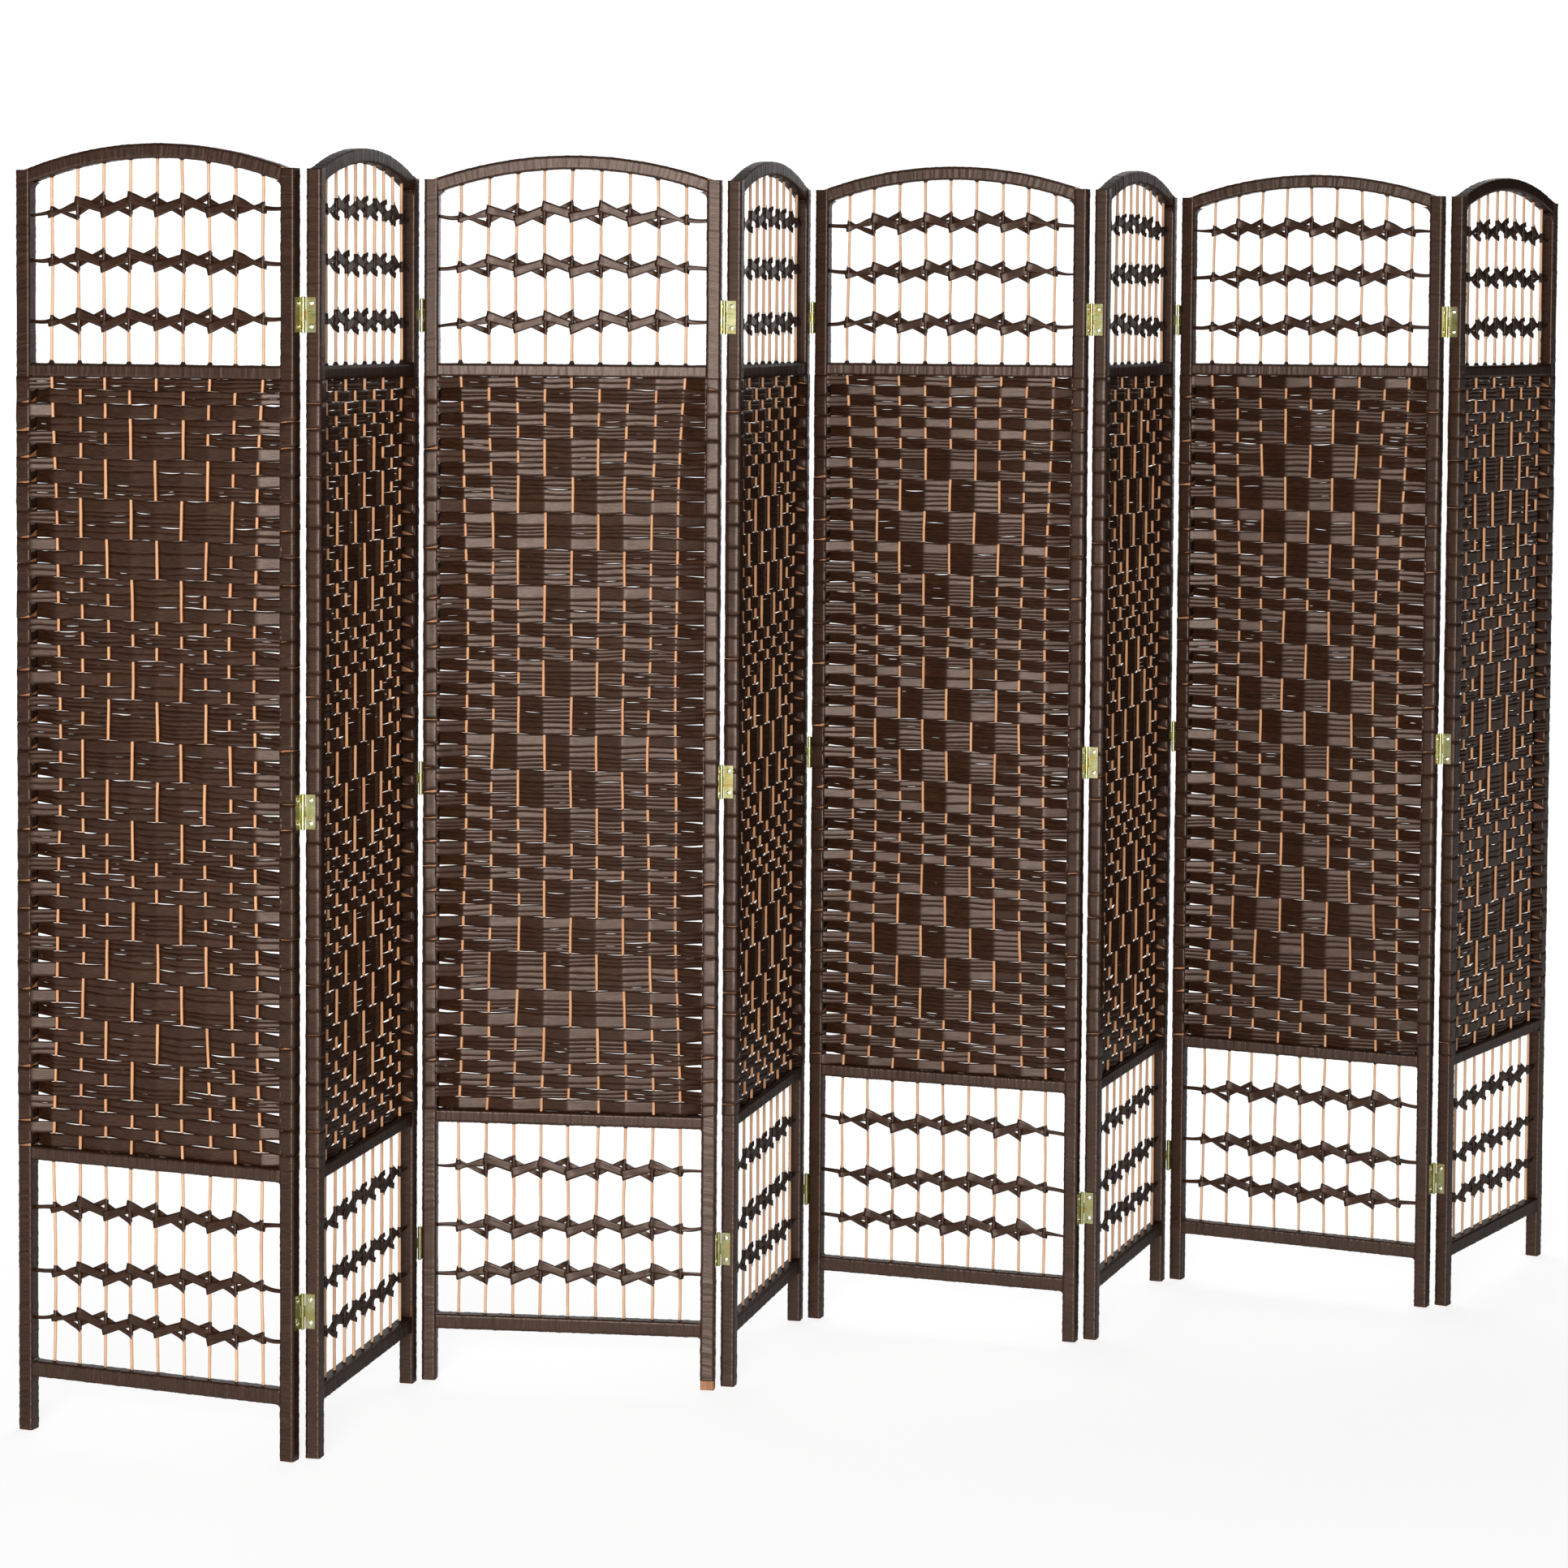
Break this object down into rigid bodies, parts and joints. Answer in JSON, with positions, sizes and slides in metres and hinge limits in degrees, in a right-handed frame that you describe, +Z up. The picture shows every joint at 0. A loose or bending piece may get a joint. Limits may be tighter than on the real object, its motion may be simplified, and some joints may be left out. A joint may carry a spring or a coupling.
{
  "type": "folding room divider",
  "caption": "Free-standing folding screen of hinged panels: wrapped wooden frames with arched tops, a woven paper-ribbon field with stepped diamonds, and openwork of upright canes.",
  "frame": {"origin": "on the floor, under the middle of the box round the standing zigzag", "axes": "+X along the screen from the first panel to the last, +Y to the back, +Z up"},
  "size_m": [2.472, 0.428, 1.699],
  "materials": {
    "wrapped_batten": "wooden batten wrapped in dark brown paper ribbon, satin",
    "cane": "peeled cane, pale honey, matt",
    "paper_ribbon": "twisted and flattened paper fibre ribbon, dark brown, satin",
    "hinge_metal": "yellow plated steel",
    "screw_metal": "plated steel"
  },
  "bodies": {
    "panel_1": {"frame_1": "wrapped_batten", "arch_1": "wrapped_batten", "canes_1": "cane", "weave_1": "paper_ribbon", "accents_1": "paper_ribbon", "leaves_1": "hinge_metal", "screws_1": "screw_metal"},
    "panel_2": {"frame_2": "wrapped_batten", "arch_2": "wrapped_batten", "canes_2": "cane", "weave_2": "paper_ribbon", "accents_2": "paper_ribbon", "leaves_2": "hinge_metal", "screws_2": "screw_metal", "pins_2": "hinge_metal"},
    "panel_3": {"frame_3": "wrapped_batten", "arch_3": "wrapped_batten", "canes_3": "cane", "weave_3": "paper_ribbon", "accents_3": "paper_ribbon", "leaves_3": "hinge_metal", "screws_3": "screw_metal"},
    "panel_4": {"frame_4": "wrapped_batten", "arch_4": "wrapped_batten", "canes_4": "cane", "weave_4": "paper_ribbon", "accents_4": "paper_ribbon", "leaves_4": "hinge_metal", "screws_4": "screw_metal", "pins_4": "hinge_metal"},
    "panel_5": {"frame_5": "wrapped_batten", "arch_5": "wrapped_batten", "canes_5": "cane", "weave_5": "paper_ribbon", "accents_5": "paper_ribbon", "leaves_5": "hinge_metal", "screws_5": "screw_metal"},
    "panel_6": {"frame_6": "wrapped_batten", "arch_6": "wrapped_batten", "canes_6": "cane", "weave_6": "paper_ribbon", "accents_6": "paper_ribbon", "leaves_6": "hinge_metal", "screws_6": "screw_metal", "pins_6": "hinge_metal"},
    "panel_7": {"frame_7": "wrapped_batten", "arch_7": "wrapped_batten", "canes_7": "cane", "weave_7": "paper_ribbon", "accents_7": "paper_ribbon", "leaves_7": "hinge_metal", "screws_7": "screw_metal"},
    "panel_8": {"frame_8": "wrapped_batten", "arch_8": "wrapped_batten", "canes_8": "cane", "weave_8": "paper_ribbon", "accents_8": "paper_ribbon", "leaves_8": "hinge_metal", "screws_8": "screw_metal", "pins_8": "hinge_metal"}
  },
  "joints": [
    {"name": "fold_1", "type": "hinge", "parent": "panel_1", "child": "panel_2", "pos_m": [-0.94454, -0.20234, 0.842], "axis": [0, 0, 1], "range_deg": [-99, 81]},
    {"name": "fold_2", "type": "hinge", "parent": "panel_2", "child": "panel_3", "pos_m": [-0.66363, 0.10483, 0.842], "axis": [0, 0, -1], "range_deg": [-84, 96]},
    {"name": "fold_3", "type": "hinge", "parent": "panel_3", "child": "panel_4", "pos_m": [-0.30155, -0.1005, 0.842], "axis": [0, 0, 1], "range_deg": [-83, 97]},
    {"name": "fold_4", "type": "hinge", "parent": "panel_4", "child": "panel_5", "pos_m": [-0.01532, 0.20172, 0.842], "axis": [0, 0, -1], "range_deg": [-96, 84]},
    {"name": "fold_5", "type": "hinge", "parent": "panel_5", "child": "panel_6", "pos_m": [0.2913, -0.0798, 0.842], "axis": [0, 0, 1], "range_deg": [-90.5, 89.5]},
    {"name": "fold_6", "type": "hinge", "parent": "panel_6", "child": "panel_7", "pos_m": [0.60517, 0.1936, 0.842], "axis": [0, 0, -1], "range_deg": [-96.5, 83.5]},
    {"name": "fold_7", "type": "hinge", "parent": "panel_7", "child": "panel_8", "pos_m": [0.88068, -0.11843, 0.842], "axis": [0, 0, 1], "range_deg": [-85.5, 94.5]}
  ]
}
